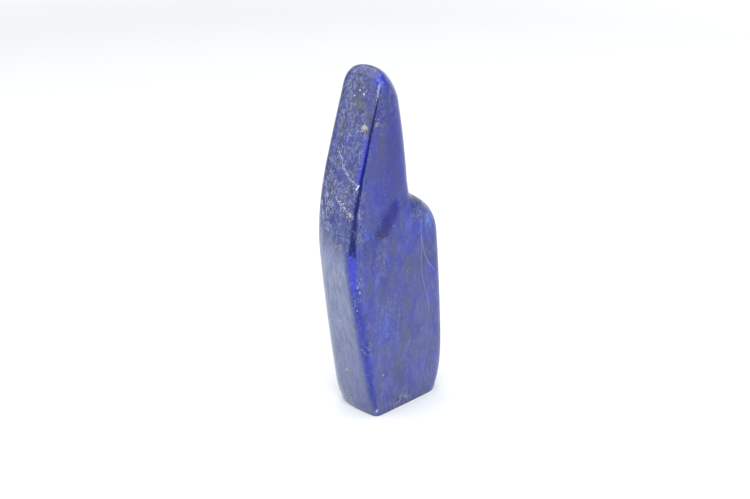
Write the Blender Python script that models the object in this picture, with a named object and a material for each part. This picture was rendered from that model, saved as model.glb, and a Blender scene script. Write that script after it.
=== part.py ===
# Polished lapis lazuli tower: one natural stone, sawn flat underneath and ground to a few broad faces.
# It stands on the sawn base. The broad face looks along -Y, the narrow left side along -X, and Z is up.
# Lengths are in millimetres here and become metres when the points of the mesh are placed.

import math
from collections import namedtuple

import bmesh
import bpy
import numpy as np

MM = 0.001

# Each ground face is a very shallow dome: a point on it, its heading in plan (0 is +X, 90 is +Y),
# how many degrees it leans back to look upward, and its radii up the stone and across it.
Face = namedtuple("Face", "point heading lean radius_up radius_across")

BROAD_FACE = Face((12.0, -2.2, 45.0), -90.0, -0.7, 1500.0, 1500.0)
LEFT_LOWER = Face((-9.3, 9.9, 37.7), 179.1, -12.6, 1000.0, 126.0)
LEFT_UPPER = Face((-10.2, 7.5, 112.9), 198.9, 18.2, 7000.0, 7000.0)
BACK_LOWER = Face((12.0, 23.9, 60.0), 102.1, 2.3, 8500.0, 8500.0)
BACK_UPPER = Face((0.0, 27.6, 125.0), 102.8, 6.9, 1680.0, 1680.0)
BACK_FOOT = Face((-2.0, 24.9, 4.0), 146.8, -46.0, 167.0, 167.0)
RIGHT_SIDE = Face((39.5, 12.0, 35.0), 4.0, 4.6, 3800.0, 3800.0)
RIGHT_FOOT = Face((42.7, 10.0, 6.0), -6.0, -24.2, 67.5, 67.5)
SHOULDER = Face((30.4, 11.0, 88.7), -12.0, 55.2, 164.0, 164.0)
FINGER_SIDE = Face((18.6, 9.0, 112.0), 6.0, 5.9, 364.0, 364.0)
CROWN = Face((-2.8, 9.0, 153.4), 13.4, 74.1, 51.0, 51.0)

# How widely the polishing has rounded each meeting of two faces.
LEFT_RIDGE_WIDTH = 9.8
BACK_RIDGE_WIDTH = 12.0
BACK_LEFT_WIDTH = 5.6
BACK_FOOT_WIDTH = 5.8
RIGHT_FOOT_WIDTH = 6.1
SHOULDER_WIDTH = 5.8
NOTCH_WIDTH = 3.4
CROWN_WIDTH = 10.0
FRONT_RIGHT_WIDTH = 4.8
BACK_RIGHT_WIDTH = 10.0
FINGER_EDGE_WIDTH = 7.5
# The left arris of the broad face is soft around the waist and crisp higher up.
ARRIS_HEIGHTS = (0.0, 12.0, 35.0, 60.0, 80.0, 110.0, 138.0, 152.0)
ARRIS_WIDTHS = (2.8, 3.2, 4.6, 4.6, 2.6, 1.2, 1.0, 5.0)

# The front right edge takes its back width across this depth, and its finger width in this rise.
EDGE_DEPTH = 22.0
FINGER_START = 85.0
FINGER_RISE = 15.0

# The saw cut underneath has a fine broken edge.
BASE_EDGE = 0.2

# A line up the middle of the stone, from which every section is measured outward.
SPINE_HEIGHTS = (0.0, 40.0, 80.0, 100.0, 120.0, 140.0)
SPINE_X = (17.0, 15.0, 10.0, 4.5, 3.0, 1.5)
SPINE_Y = (10.0, 11.0, 11.0, 10.0, 9.5, 9.5)

# Sections: broad spacing on the plain lengths, close spacing over the shoulder.
BODY_TOP = 77.0
BODY_SECTIONS = 30
SHOULDER_TOP = 98.0
SHOULDER_SECTIONS = 16
FINGER_TOP = 134.0
FINGER_SECTIONS = 13
CROWN_SECTIONS = 10

# Points between the four upright edges, from the arris round by the right side and the back.
SIDE_POINTS = (18, 9, 14, 15)
CROWDING = (1.9, 1.25, 1.25, 1.25)

REACH = 60.0
HALVINGS = 26
SEARCH_HEADINGS = 180

STONE_COLOR = (0.055, 0.075, 0.36, 1.0)
STONE_ROUGHNESS = 0.22


def direction(heading, lean):
    """Unit vector that looks to a heading and leans upward, both in degrees."""
    turn = math.radians(heading)
    rise = math.radians(lean)
    return np.array((
        math.cos(turn) * math.cos(rise),
        math.sin(turn) * math.cos(rise),
        math.sin(rise),
    ))


def outside(face, points):
    """How far each point stands outside a ground face; negative inside the stone."""
    normal = direction(face.heading, face.lean)
    level = direction(face.heading + 90.0, 0.0)
    offset = points - np.array(face.point)
    height = offset @ normal
    across = (offset @ level) ** 2
    up = (offset ** 2).sum(axis=1) - height ** 2 - across
    return height + up / (2.0 * face.radius_up) + across / (2.0 * face.radius_across)


def ridge(a, b, width):
    """Meeting of two faces that stands out, rounded over about the given width."""
    overlap = np.maximum(width - np.abs(a - b), 0.0)
    return np.maximum(a, b) + overlap ** 2 / (4.0 * width)


def hollow(a, b, width):
    """Meeting of two faces that folds inward, rounded over about the given width."""
    overlap = np.maximum(width - np.abs(a - b), 0.0)
    return np.minimum(a, b) - overlap ** 2 / (4.0 * width)


def broad_side(points):
    """The broad front face."""
    return outside(BROAD_FACE, points)


def left_side(points):
    """The narrow left side: it leans out up to the waist, then back to the tip."""
    return ridge(outside(LEFT_LOWER, points), outside(LEFT_UPPER, points), LEFT_RIDGE_WIDTH)


def back_side(points):
    """The back, with the tucked foot at its left corner."""
    back = ridge(outside(BACK_LOWER, points), outside(BACK_UPPER, points), BACK_RIDGE_WIDTH)
    return ridge(back, outside(BACK_FOOT, points), BACK_FOOT_WIDTH)


def right_side(points):
    """The right side: the block with its shoulder, and the finger that rises above the notch."""
    block = ridge(outside(RIGHT_SIDE, points), outside(RIGHT_FOOT, points), RIGHT_FOOT_WIDTH)
    block = ridge(block, outside(SHOULDER, points), SHOULDER_WIDTH)
    return hollow(block, outside(FINGER_SIDE, points), NOTCH_WIDTH)


def right_edge_width(points):
    """Rounding of the right side's two upright edges, wider at the back and on the finger."""
    depth = np.clip(points[:, 1] / EDGE_DEPTH, 0.0, 1.0)
    width = FRONT_RIGHT_WIDTH + (BACK_RIGHT_WIDTH - FRONT_RIGHT_WIDTH) * depth
    rise = np.clip((points[:, 2] - FINGER_START) / FINGER_RISE, 0.0, 1.0)
    return width + (FINGER_EDGE_WIDTH - width) * rise


def stone(points):
    """The whole stone above its saw cut; negative inside."""
    arris_width = np.interp(points[:, 2], ARRIS_HEIGHTS, ARRIS_WIDTHS)
    shape = ridge(broad_side(points), left_side(points), arris_width)
    shape = ridge(shape, back_side(points), BACK_LEFT_WIDTH)
    shape = ridge(shape, right_side(points), right_edge_width(points))
    return ridge(shape, outside(CROWN, points), CROWN_WIDTH)


def spine(height):
    """Point of the middle line at a height."""
    return np.array((
        np.interp(height, SPINE_HEIGHTS, SPINE_X),
        np.interp(height, SPINE_HEIGHTS, SPINE_Y),
        height,
    ))


def surface_points(start, headings, rise, depth=0.0):
    """Points where rays from the spine leave the stone, sunk below the surface by depth."""
    rays = np.array([direction(math.degrees(heading), rise) for heading in headings])
    near = np.zeros(len(rays))
    far = np.full(len(rays), REACH)
    for _ in range(HALVINGS):
        middle = (near + far) / 2.0
        inside = stone(start + rays * middle[:, None]) + depth <= 0.0
        near = np.where(inside, middle, near)
        far = np.where(inside, far, middle)
    return start + rays * near[:, None]


def corner_headings(height):
    """Headings of the arris and the other three upright edges in one level section."""
    headings = np.linspace(0.0, 2.0 * math.pi, SEARCH_HEADINGS, endpoint=False)
    points = surface_points(spine(height), headings, 0.0)
    sides = (left_side(points), broad_side(points), right_side(points), back_side(points))
    corners = []
    for index, side in enumerate(sides):
        following = sides[(index + 1) % 4]
        opposite = np.maximum(sides[(index + 2) % 4], sides[(index + 3) % 4])
        lead = side - following
        next_lead = np.roll(lead, -1)
        on_edge = (lead > 0.0) & (next_lead <= 0.0) & (side > opposite)
        place = np.flatnonzero(on_edge)[0]
        share = lead[place] / (lead[place] - next_lead[place])
        corners.append(headings[place] + share * (headings[1] - headings[0]))
    return np.unwrap(corners + corners[:1])


def section_headings(height):
    """Headings of one section's points, crowded towards the four upright edges."""
    corners = corner_headings(height)
    headings = []
    for index, count in enumerate(SIDE_POINTS):
        part = np.arange(count) / count
        leaving = part ** CROWDING[index]
        nearing = (1.0 - part) ** CROWDING[(index + 1) % 4]
        share = leaving / (leaving + nearing)
        headings.extend(corners[index] + (corners[index + 1] - corners[index]) * share)
    return np.array(headings)


def section_heights():
    """Heights of the level sections above the base edge, from low to high."""
    body = np.linspace(BASE_EDGE, BODY_TOP, BODY_SECTIONS, endpoint=False)
    shoulder = np.linspace(BODY_TOP, SHOULDER_TOP, SHOULDER_SECTIONS, endpoint=False)
    finger = np.linspace(SHOULDER_TOP, FINGER_TOP, FINGER_SECTIONS, endpoint=False)
    return np.concatenate((body, shoulder, finger))


def stone_rings():
    """Rings of points from the tip down to the rim of the saw cut, with the tip and base centre."""
    crown_start = spine(FINGER_TOP)
    crown_headings = section_headings(FINGER_TOP)
    rings = [surface_points(spine(0.0), section_headings(0.0), 0.0, BASE_EDGE)]
    for height in section_heights():
        rings.append(surface_points(spine(height), section_headings(height), 0.0))
    for step in range(CROWN_SECTIONS):
        rise = 90.0 * step / CROWN_SECTIONS
        rings.append(surface_points(crown_start, crown_headings, rise))
    tip = surface_points(crown_start, [0.0], 90.0)
    base_centre = spine(0.0)[None, :]
    return [tip] + rings[::-1] + [base_centre]


def centred(rings):
    """The rings moved level so that the box around the stone is centred on the origin."""
    points = np.concatenate(rings)
    middle = (points.min(axis=0) + points.max(axis=0)) / 2.0
    middle[2] = 0.0
    return [ring - middle for ring in rings]


def make_material():
    """Deep blue polished stone."""
    material = bpy.data.materials.new("polished_lapis")
    material.use_nodes = True
    shader = material.node_tree.nodes["Principled BSDF"]
    shader.inputs["Base Color"].default_value = STONE_COLOR
    shader.inputs["Roughness"].default_value = STONE_ROUGHNESS
    shader.inputs["Metallic"].default_value = 0.0
    return material


def make_stone(collection):
    """A UV sphere whose rings are moved onto the ground faces; its lower pole is the base centre."""
    rings = centred(stone_rings())
    columns = sum(SIDE_POINTS)
    last = len(rings) - 1
    mesh_builder = bmesh.new()
    bmesh.ops.create_uvsphere(mesh_builder, u_segments=columns, v_segments=last, radius=1.0)
    for vertex in mesh_builder.verts:
        fall = math.acos(max(-1.0, min(1.0, vertex.co.z)))
        ring = rings[round(fall / math.pi * last)]
        turn = math.atan2(vertex.co.y, vertex.co.x) % (2.0 * math.pi)
        column = round(turn / (2.0 * math.pi) * columns) % columns
        vertex.co = ring[column % len(ring)] * MM
    mesh = bpy.data.meshes.new("stone")
    mesh_builder.to_mesh(mesh)
    mesh_builder.free()
    mesh.shade_smooth()
    mesh.set_sharp_from_angle(angle=math.radians(50.0))
    mesh.materials.append(make_material())
    collection.objects.link(bpy.data.objects.new("stone", mesh))


def main():
    """Clear the scene and build the tower in its own collection."""
    for item in list(bpy.data.objects):
        bpy.data.objects.remove(item)
    collection = bpy.data.collections.new("lapis_lazuli_tower")
    bpy.context.scene.collection.children.link(collection)
    make_stone(collection)


main()
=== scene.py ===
import math

import bpy
import numpy as np
from mathutils import Matrix, Vector
from mathutils.bvhtree import BVHTree


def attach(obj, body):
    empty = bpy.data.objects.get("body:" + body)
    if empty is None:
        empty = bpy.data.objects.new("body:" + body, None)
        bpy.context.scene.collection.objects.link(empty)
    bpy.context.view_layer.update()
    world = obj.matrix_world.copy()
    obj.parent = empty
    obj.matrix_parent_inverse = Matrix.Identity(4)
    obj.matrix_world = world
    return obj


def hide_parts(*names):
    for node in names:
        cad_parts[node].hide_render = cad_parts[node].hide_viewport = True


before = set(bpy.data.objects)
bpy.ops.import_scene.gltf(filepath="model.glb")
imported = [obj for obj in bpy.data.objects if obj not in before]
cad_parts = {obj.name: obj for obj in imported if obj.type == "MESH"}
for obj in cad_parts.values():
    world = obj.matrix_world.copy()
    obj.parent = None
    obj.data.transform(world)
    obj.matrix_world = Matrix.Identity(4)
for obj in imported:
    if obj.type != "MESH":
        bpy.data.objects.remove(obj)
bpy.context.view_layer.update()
print("frame loaded")

mm = 0.001

# view of the photo: long lens, looking down on the corner of the sawn base
view = {
    "lens": 85.0,
    "sensor": 36.0,
    "lookAt": (-0.0105, -0.0124, 0.0740),
    "distance": 0.7083,
    "lift": 22.0,
    "turn": 46.17,
    "pixelsWide": 750,
    "pixelsHigh": 499,
}


def cameraPlace():
    lift = math.radians(view["lift"])
    turn = math.radians(view["turn"])
    level = math.cos(lift)
    back = Vector((-math.sin(turn) * level, -math.cos(turn) * level, math.sin(lift)))
    rotation = (-back).to_track_quat("-Z", "Y").to_matrix()
    return Vector(view["lookAt"]) + back * view["distance"], rotation


def addObject(name, data):
    made = bpy.data.objects.new(name, data)
    bpy.context.scene.collection.objects.link(made)
    return made


def makeCamera():
    place, rotation = cameraPlace()
    data = bpy.data.cameras.new("photoCamera")
    data.lens = view["lens"]
    data.sensor_width = view["sensor"]
    camera = addObject("photoCamera", data)
    camera.matrix_world = Matrix.Translation(place) @ rotation.to_4x4()
    bpy.context.scene.camera = camera


# ground faces of the stone, in mm: a point, heading in plan, upward lean, radii up and across
groundFaces = {
    "broad": ((12.0, -2.2, 45.0), -90.0, -0.7, 1500.0, 1500.0),
    "leftLower": ((-9.3, 9.9, 37.7), 179.1, -12.6, 1000.0, 126.0),
    "leftUpper": ((-10.2, 7.5, 112.9), 198.9, 18.2, 7000.0, 7000.0),
    "backLower": ((12.0, 23.9, 60.0), 102.1, 2.3, 8500.0, 8500.0),
    "backUpper": ((0.0, 27.6, 125.0), 102.8, 6.9, 1680.0, 1680.0),
    "backFoot": ((-2.0, 24.9, 4.0), 146.8, -46.0, 167.0, 167.0),
    "rightSide": ((39.5, 12.0, 35.0), 4.0, 4.6, 3800.0, 3800.0),
    "rightFoot": ((42.7, 10.0, 6.0), -6.0, -24.2, 67.5, 67.5),
    "shoulder": ((30.4, 11.0, 88.7), -12.0, 55.2, 164.0, 164.0),
    "fingerSide": ((18.6, 9.0, 112.0), 6.0, 5.9, 364.0, 364.0),
    "crown": ((-2.8, 9.0, 153.4), 13.4, 74.1, 51.0, 51.0),
}

# how widely the polish has rounded each meeting, in mm
rounding = {
    "leftRidge": 9.8,
    "backRidge": 12.0,
    "backLeft": 5.6,
    "backFoot": 5.8,
    "rightFoot": 6.1,
    "shoulder": 5.8,
    "notch": 3.4,
    "crown": 10.0,
    "frontRight": 4.8,
    "backRight": 10.0,
    "fingerEdge": 7.5,
    "arrisHeights": (0.0, 12.0, 35.0, 60.0, 80.0, 110.0, 138.0, 152.0),
    "arrisWidths": (2.8, 3.2, 4.6, 4.6, 2.6, 1.2, 1.0, 5.0),
    "edgeDepth": 22.0,
    "fingerStart": 85.0,
    "fingerRise": 15.0,
    "baseEdge": 0.2,
}

# where sections are measured from and how finely the stone is meshed
stoneMesh = {
    "spineHeights": (0.0, 40.0, 80.0, 100.0, 120.0, 140.0),
    "spineX": (17.0, 15.0, 10.0, 4.5, 3.0, 1.5),
    "spineY": (10.0, 11.0, 11.0, 10.0, 9.5, 9.5),
    "crownStart": 134.0,
    "levels": 330,
    "crownLevels": 46,
    "sideColumns": (62, 26, 42, 46),
    "crowding": (1.5, 1.15, 1.15, 1.15),
    "reach": 60.0,
    "halvings": 24,
    "footLevels": (0.6, 1.0),
    "bodyStart": 1.4,
    "footInset": 0.012,
    "headingStep": 1.5,
    "cornerKnots": 90,
    "sharpAngle": 40.0,
    "farBehind": 200.0,
    # its square is the share of depth that markings ignore
    "runInward": 0.9,
}


def direction(heading, lean):
    turn = np.radians(heading)
    rise = np.radians(lean)
    level = np.cos(rise)
    return np.stack((np.cos(turn) * level, np.sin(turn) * level, np.sin(rise) + 0.0 * turn), axis=-1)


def outside(name, points):
    point, heading, lean, radiusUp, radiusAcross = groundFaces[name]
    offset = points - np.array(point)
    height = offset @ direction(heading, lean)
    across = (offset @ direction(heading + 90.0, 0.0)) ** 2
    up = (offset ** 2).sum(axis=-1) - height ** 2 - across
    return height + up / (2.0 * radiusUp) + across / (2.0 * radiusAcross)


def ridge(a, b, width):
    overlap = np.maximum(width - np.abs(a - b), 0.0)
    return np.maximum(a, b) + overlap ** 2 / (4.0 * width)


def hollow(a, b, width):
    return -ridge(-a, -b, width)


def sideHeights(points):
    left = ridge(outside("leftLower", points), outside("leftUpper", points), rounding["leftRidge"])
    back = ridge(outside("backLower", points), outside("backUpper", points), rounding["backRidge"])
    back = ridge(back, outside("backFoot", points), rounding["backFoot"])
    block = ridge(outside("rightSide", points), outside("rightFoot", points), rounding["rightFoot"])
    block = ridge(block, outside("shoulder", points), rounding["shoulder"])
    right = hollow(block, outside("fingerSide", points), rounding["notch"])
    return left, outside("broad", points), right, back


def stoneHeight(points):
    left, broad, right, back = sideHeights(points)
    level = points[..., 2]
    arris = np.interp(level, rounding["arrisHeights"], rounding["arrisWidths"])
    shape = ridge(ridge(broad, left, arris), back, rounding["backLeft"])
    depth = np.clip(points[..., 1] / rounding["edgeDepth"], 0.0, 1.0)
    edge = rounding["frontRight"] + (rounding["backRight"] - rounding["frontRight"]) * depth
    rise = np.clip((level - rounding["fingerStart"]) / rounding["fingerRise"], 0.0, 1.0)
    edge = edge + (rounding["fingerEdge"] - edge) * rise
    return ridge(ridge(shape, right, edge), outside("crown", points), rounding["crown"])


def surfacePoints(starts, rays):
    near = np.zeros(rays.shape[:-1])
    far = np.full(rays.shape[:-1], stoneMesh["reach"])
    for _ in range(stoneMesh["halvings"]):
        middle = (near + far) / 2.0
        inside = stoneHeight(starts + rays * middle[..., None]) <= 0.0
        near = np.where(inside, middle, near)
        far = np.where(inside, far, middle)
    return starts + rays * near[..., None]


def spine(levels):
    x = np.interp(levels, stoneMesh["spineHeights"], stoneMesh["spineX"])
    y = np.interp(levels, stoneMesh["spineHeights"], stoneMesh["spineY"])
    return np.stack((x, y, levels), axis=-1)


def cornerHeadings(levels):
    step = stoneMesh["headingStep"]
    headings = np.arange(0.0, 360.0, step)
    rays = np.broadcast_to(direction(headings, 0.0), (len(levels), len(headings), 3))
    sides = sideHeights(surfacePoints(spine(levels)[:, None, :], rays))
    corners = []
    for index, side in enumerate(sides):
        opposite = np.maximum(sides[(index + 2) % 4], sides[(index + 3) % 4])
        lead = side - sides[(index + 1) % 4]
        nextLead = np.roll(lead, -1, axis=1)
        onEdge = (lead > 0.0) & (nextLead <= 0.0) & (side > opposite)
        place = onEdge.argmax(axis=1)
        rows = np.arange(len(levels))
        share = lead[rows, place] / (lead[rows, place] - nextLead[rows, place])
        corners.append(headings[place] + share * step)
    corners.append(corners[0])
    return np.degrees(np.unwrap(np.radians(np.stack(corners, axis=1)), axis=1))


def sectionHeadings(levels):
    knots = np.linspace(0.0, stoneMesh["crownStart"], stoneMesh["cornerKnots"])
    corners = cornerHeadings(knots)
    crowding = stoneMesh["crowding"]
    pieces = []
    for index, count in enumerate(stoneMesh["sideColumns"]):
        part = np.arange(count) / count
        leaving = part ** crowding[index]
        share = leaving / (leaving + (1.0 - part) ** crowding[(index + 1) % 4])
        first = np.interp(levels, knots, corners[:, index])[:, None]
        last = np.interp(levels, knots, corners[:, index + 1])[:, None]
        pieces.append(first + (last - first) * share)
    return np.concatenate(pieces, axis=1)


def stonePoints():
    top = stoneMesh["crownStart"]
    evenLevels = np.linspace(stoneMesh["bodyStart"], top, stoneMesh["levels"], endpoint=False)
    levels = np.concatenate(([rounding["baseEdge"], *stoneMesh["footLevels"]], evenLevels))
    body = surfacePoints(spine(levels)[:, None, :], direction(sectionHeadings(levels), 0.0))
    foot = body[0] + (spine(np.zeros(1)) - body[0]) * stoneMesh["footInset"]
    foot[:, 2] = 0.0
    crownLean = np.linspace(0.0, 90.0, stoneMesh["crownLevels"], endpoint=False)[:, None]
    crownHeadings = sectionHeadings(np.array([top])) + 0.0 * crownLean
    crown = surfacePoints(spine(np.array([top]))[:, None, :], direction(crownHeadings, crownLean))
    tip = surfacePoints(spine(np.array([top])), direction(np.zeros(1), np.full(1, 90.0)))
    rings = np.concatenate((foot[None], body, crown))
    return rings, tip[0], spine(np.zeros(1))[0], crownHeadings[0]


def smooth(value, low, high):
    share = np.clip((value - low) / (high - low), 0.0, 1.0)
    return share * share * (3.0 - 2.0 * share)


def addAttribute(mesh, name, values):
    layer = mesh.attributes.new(name, "FLOAT", "POINT")
    layer.data.foreach_set("value", np.ascontiguousarray(values, dtype=np.float32))


# map for the baked finish: the body unrolled, the crown and the sawn base as discs above it
finishMap = {
    "name": "OFBake",
    "bodyWidth": 0.98,
    "bodyTop": 0.79,
    "margin": 0.01,
    "crownCentre": (0.25, 0.9),
    "baseCentre": (0.75, 0.9),
    "crownRadius": 0.095,
    "baseScale": 0.0045,
}


def addFinishMap(mesh, rings, topRing, headings):
    levels, columns = rings.shape[:2]
    margin = finishMap["margin"]
    height = rings[:topRing + 1, :, 2].mean(axis=1)
    acrossStep = np.linspace(0.0, 1.0, columns + 1)
    rise = np.linspace(0.0, 1.0, levels - topRing + 1)
    uv = []

    def bodyPoint(level, step):
        up = height[level] / height[-1] * finishMap["bodyTop"]
        return (margin + acrossStep[step] * finishMap["bodyWidth"], margin + up)

    def crownPoint(level, step):
        reach = (1.0 - rise[level - topRing]) * finishMap["crownRadius"]
        turn = math.radians(headings[step % columns])
        centre = finishMap["crownCentre"]
        return (centre[0] + math.cos(turn) * reach, centre[1] + math.sin(turn) * reach)

    for level in range(levels - 1):
        spot = bodyPoint if level < topRing else crownPoint
        for step in range(columns):
            uv += [spot(level + up, step + on) for up, on in ((0, 0), (0, 1), (1, 1), (1, 0))]
    for step in range(columns):
        uv += [crownPoint(levels - 1, step), crownPoint(levels - 1, step + 1), finishMap["crownCentre"]]
    foot = rings[0]
    footMiddle = foot.mean(axis=0)
    centre = finishMap["baseCentre"]
    flat = [(centre[0] + (p[0] - footMiddle[0]) * finishMap["baseScale"],
             centre[1] + (p[1] - footMiddle[1]) * finishMap["baseScale"]) for p in foot]
    for step in range(columns):
        uv += [flat[(step + 1) % columns], flat[step], centre]
    layer = mesh.uv_layers.new(name=finishMap["name"])
    layer.data.foreach_set("uv", np.array(uv, dtype=np.float32).ravel())


# where the fields that the materials read begin and end, in mm of lead of one face over the others
fieldLimits = {
    "arrisNear": (-3.0, -1.0),
    "leftFace": (-2.0, 4.0),
    "lowLeft": (-0.5, 8.0),
    "frontFace": (-0.5, 2.5),
}


def makeStoneMesh():
    rings, tip, baseCentre, headings = stonePoints()
    levels, columns = rings.shape[:2]
    points = np.concatenate((rings.reshape(-1, 3), tip[None], baseCentre[None]))
    left, broad, right, back = sideHeights(points)
    leftSplit = outside("leftLower", points) - outside("leftUpper", points)
    middle = (points.min(axis=0) + points.max(axis=0)) / 2.0
    middle[2] = 0.0
    points = (points - middle) * mm
    across = np.arange(columns)
    onward = (across + 1) % columns
    lower = np.arange(levels - 1)[:, None] * columns
    upper = lower + columns
    quads = np.stack((lower + across, lower + onward, upper + onward, upper + across), axis=-1)
    last = (levels - 1) * columns
    tipFaces = [(last + a, last + b, len(points) - 2) for a, b in zip(across, onward)]
    baseFaces = [(b, a, len(points) - 1) for a, b in zip(across, onward)]
    mesh = bpy.data.meshes.new("lapisStone")
    mesh.from_pydata(points.tolist(), [], quads.reshape(-1, 4).tolist() + tipFaces + baseFaces)
    addFinishMap(mesh, rings, levels - 1 - stoneMesh["crownLevels"], headings)
    addAttribute(mesh, "arrisAcross", broad - left)
    fields = {
        "arrisNear": np.maximum(broad, left),
        "leftFace": left - np.maximum(broad, back),
        "lowLeft": leftSplit,
        "frontFace": broad - np.maximum(np.maximum(left, right), back),
    }
    for name, lead in fields.items():
        addAttribute(mesh, name, smooth(lead, *fieldLimits[name]))
    mesh.update()
    mesh.shade_smooth()
    mesh.set_sharp_from_angle(angle=math.radians(stoneMesh["sharpAngle"]))
    return addObject("lapisStone", mesh)


# the stone under a pixel of the photo, in mm, and the way it faces there
def stoneUnder(stone):
    mesh = stone.data
    tree = BVHTree.FromPolygons([v.co for v in mesh.vertices], [p.vertices for p in mesh.polygons])
    place, rotation = cameraPlace()
    focal = view["lens"] / view["sensor"] * view["pixelsWide"]

    def onStone(across, down):
        ray = Vector((across - view["pixelsWide"] / 2.0, view["pixelsHigh"] / 2.0 - down, -focal))
        hit, facing = tree.ray_cast(place, (rotation @ ray).normalized())[:2]
        if hit is None:
            raise ValueError("no stone at pixel %s, %s" % (across, down))
        return hit / mm, facing * stoneMesh["runInward"]

    # the same from behind, by place across and height in mm
    def behindStone(across, level):
        start = Vector((across, stoneMesh["farBehind"], level)) * mm
        hit, facing = tree.ray_cast(start, Vector((0.0, -1.0, 0.0)))[:2]
        return hit / mm, facing * stoneMesh["runInward"]

    return onStone, behindStone


# sets inputs by name or number, each to a value or by a link from a socket
def feed(tree, node, inputs):
    for name, value in inputs.items():
        socket = node.inputs[name]
        if isinstance(value, bpy.types.NodeSocket):
            tree.links.new(value, socket)
        else:
            socket.default_value = (*value, 1.0) if socket.type == "RGBA" else value


def put(tree, kind, inputs=None, **settings):
    made = tree.nodes.new(kind)
    for name, value in settings.items():
        setattr(made, name, value)
    feed(tree, made, inputs or {})
    return made


def number(tree, operation, *values):
    return put(tree, "ShaderNodeMath", dict(enumerate(values)), operation=operation).outputs[0]


def plus(tree, first, second):
    return number(tree, "ADD", first, second)


def times(tree, product, *others):
    for other in others:
        product = number(tree, "MULTIPLY", product, other)
    return product


def clamped(tree, value):
    return put(tree, "ShaderNodeClamp", {"Value": value}).outputs[0]


def vector(tree, operation, first, second=(0.0, 0.0, 0.0)):
    made = put(tree, "ShaderNodeVectorMath", {0: first, 1: second}, operation=operation)
    return made.outputs["Value" if operation in ("DOT_PRODUCT", "LENGTH") else "Vector"]


def scaled(tree, way, factor):
    return put(tree, "ShaderNodeVectorMath", {0: way, "Scale": factor}, operation="SCALE").outputs[0]


def combined(tree, x, y, z):
    return put(tree, "ShaderNodeCombineXYZ", {0: x, 1: y, 2: z}).outputs[0]


def separated(tree, way):
    return put(tree, "ShaderNodeSeparateXYZ", {0: way}).outputs


def greyTone(tree, value):
    return put(tree, "ShaderNodeCombineColor", {0: value, 1: value, 2: value}).outputs[0]


def attribute(tree, name):
    return put(tree, "ShaderNodeAttribute", attribute_name=name).outputs["Fac"]


def ramp(tree, value, start, end, first, last, curve="LINEAR"):
    inputs = {"Value": value, "From Min": start, "From Max": end, "To Min": first, "To Max": last}
    return put(tree, "ShaderNodeMapRange", inputs, interpolation_type=curve).outputs["Result"]


def fade(tree, value, start, end, first=0.0, last=1.0):
    return ramp(tree, value, start, end, first, last, "SMOOTHSTEP")


def mixed(tree, share, first, second):
    return put(tree, "ShaderNodeMix", {0: share, 2: first, 3: second}, data_type="FLOAT").outputs[0]


def blendColor(tree, share, first, second, mode="MIX"):
    made = put(tree, "ShaderNodeMix", {0: share, 6: first, 7: second}, data_type="RGBA", blend_type=mode)
    return made.outputs[2]


# noise drawn out upwards, as the grain of the stone is
def noise(tree, place, rise, scale, detail, roughness=0.55):
    place = vector(tree, "MULTIPLY", place, (1.0, 1.0, rise))
    inputs = {"Vector": place, "Scale": scale, "Detail": detail, "Roughness": roughness}
    return put(tree, "ShaderNodeTexNoise", inputs).outputs[0]


def wandering(tree, place, scale, detail):
    inputs = {"Vector": place, "Scale": scale, "Detail": detail}
    color = put(tree, "ShaderNodeTexNoise", inputs).outputs["Color"]
    return vector(tree, "SUBTRACT", color, (0.5, 0.5, 0.5))


def shifted(tree, place, wander, reach):
    return vector(tree, "ADD", place, vector(tree, "MULTIPLY", wander, reach))


origin = (0.0, 0.0, 0.0)


def newGroup(name, inputs, outputs):
    tree = bpy.data.node_groups.new(name, "ShaderNodeTree")
    for socketName, value in inputs.items():
        kind = "NodeSocketVector" if isinstance(value, tuple) else "NodeSocketFloat"
        tree.interface.new_socket(socketName, in_out="INPUT", socket_type=kind).default_value = value
    for socketName in outputs:
        kind = "NodeSocketColor" if socketName == "Color" else "NodeSocketFloat"
        tree.interface.new_socket(socketName, in_out="OUTPUT", socket_type=kind)
    return tree, tree.nodes.new("NodeGroupInput").outputs, tree.nodes.new("NodeGroupOutput")


def useGroup(tree, group, inputs):
    return put(tree, "ShaderNodeGroup", inputs, node_tree=group).outputs


# drops most of the part of a gap that points into the stone, so that markings run on inwards a little
def alongFace(tree, gap, depth):
    inward = scaled(tree, depth, vector(tree, "DOT_PRODUCT", gap, depth))
    return vector(tree, "SUBTRACT", gap, inward)


# how far a place is from one straight stretch of a vein or a hairline
def makeVeinGroup():
    tree, given, result = newGroup("veinStretch", {
        "Place": origin, "Start": origin, "Along": (0.0, 0.0, 1.0), "Per Length": (0.0, 0.0, 1.0),
        "Depth": (0.0, 1.0, 0.0)}, ["Gap"])
    fromStart = vector(tree, "SUBTRACT", given["Place"], given["Start"])
    share = clamped(tree, vector(tree, "DOT_PRODUCT", fromStart, given["Per Length"]))
    gap = vector(tree, "SUBTRACT", fromStart, scaled(tree, given["Along"], share))
    feed(tree, result, {"Gap": vector(tree, "LENGTH", alongFace(tree, gap, given["Depth"]))})
    return tree


# a soft round or long patch
def makePatchGroup():
    tree, given, result = newGroup("patch", {
        "Place": origin, "Middle": origin, "Depth": (0.0, 1.0, 0.0), "Reach": 1.0, "Rise": 1.0, "Soft": 0.5},
        ["Mask"])
    gap = alongFace(tree, vector(tree, "SUBTRACT", given["Place"], given["Middle"]), given["Depth"])
    size = combined(tree, given["Reach"], given["Reach"], given["Rise"])
    gap = vector(tree, "LENGTH", vector(tree, "DIVIDE", gap, size))
    inner = number(tree, "SUBTRACT", 1.0, given["Soft"])
    feed(tree, result, {"Mask": fade(tree, gap, inner, plus(tree, 1.0, given["Soft"]), 1.0, 0.0)})
    return tree


def patchMask(tree, group, place, spot, reach, rise, soft):
    values = {"Place": place, "Middle": spot[0], "Depth": spot[1], "Reach": reach, "Rise": rise, "Soft": soft}
    return useGroup(tree, group, values)["Mask"]


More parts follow.
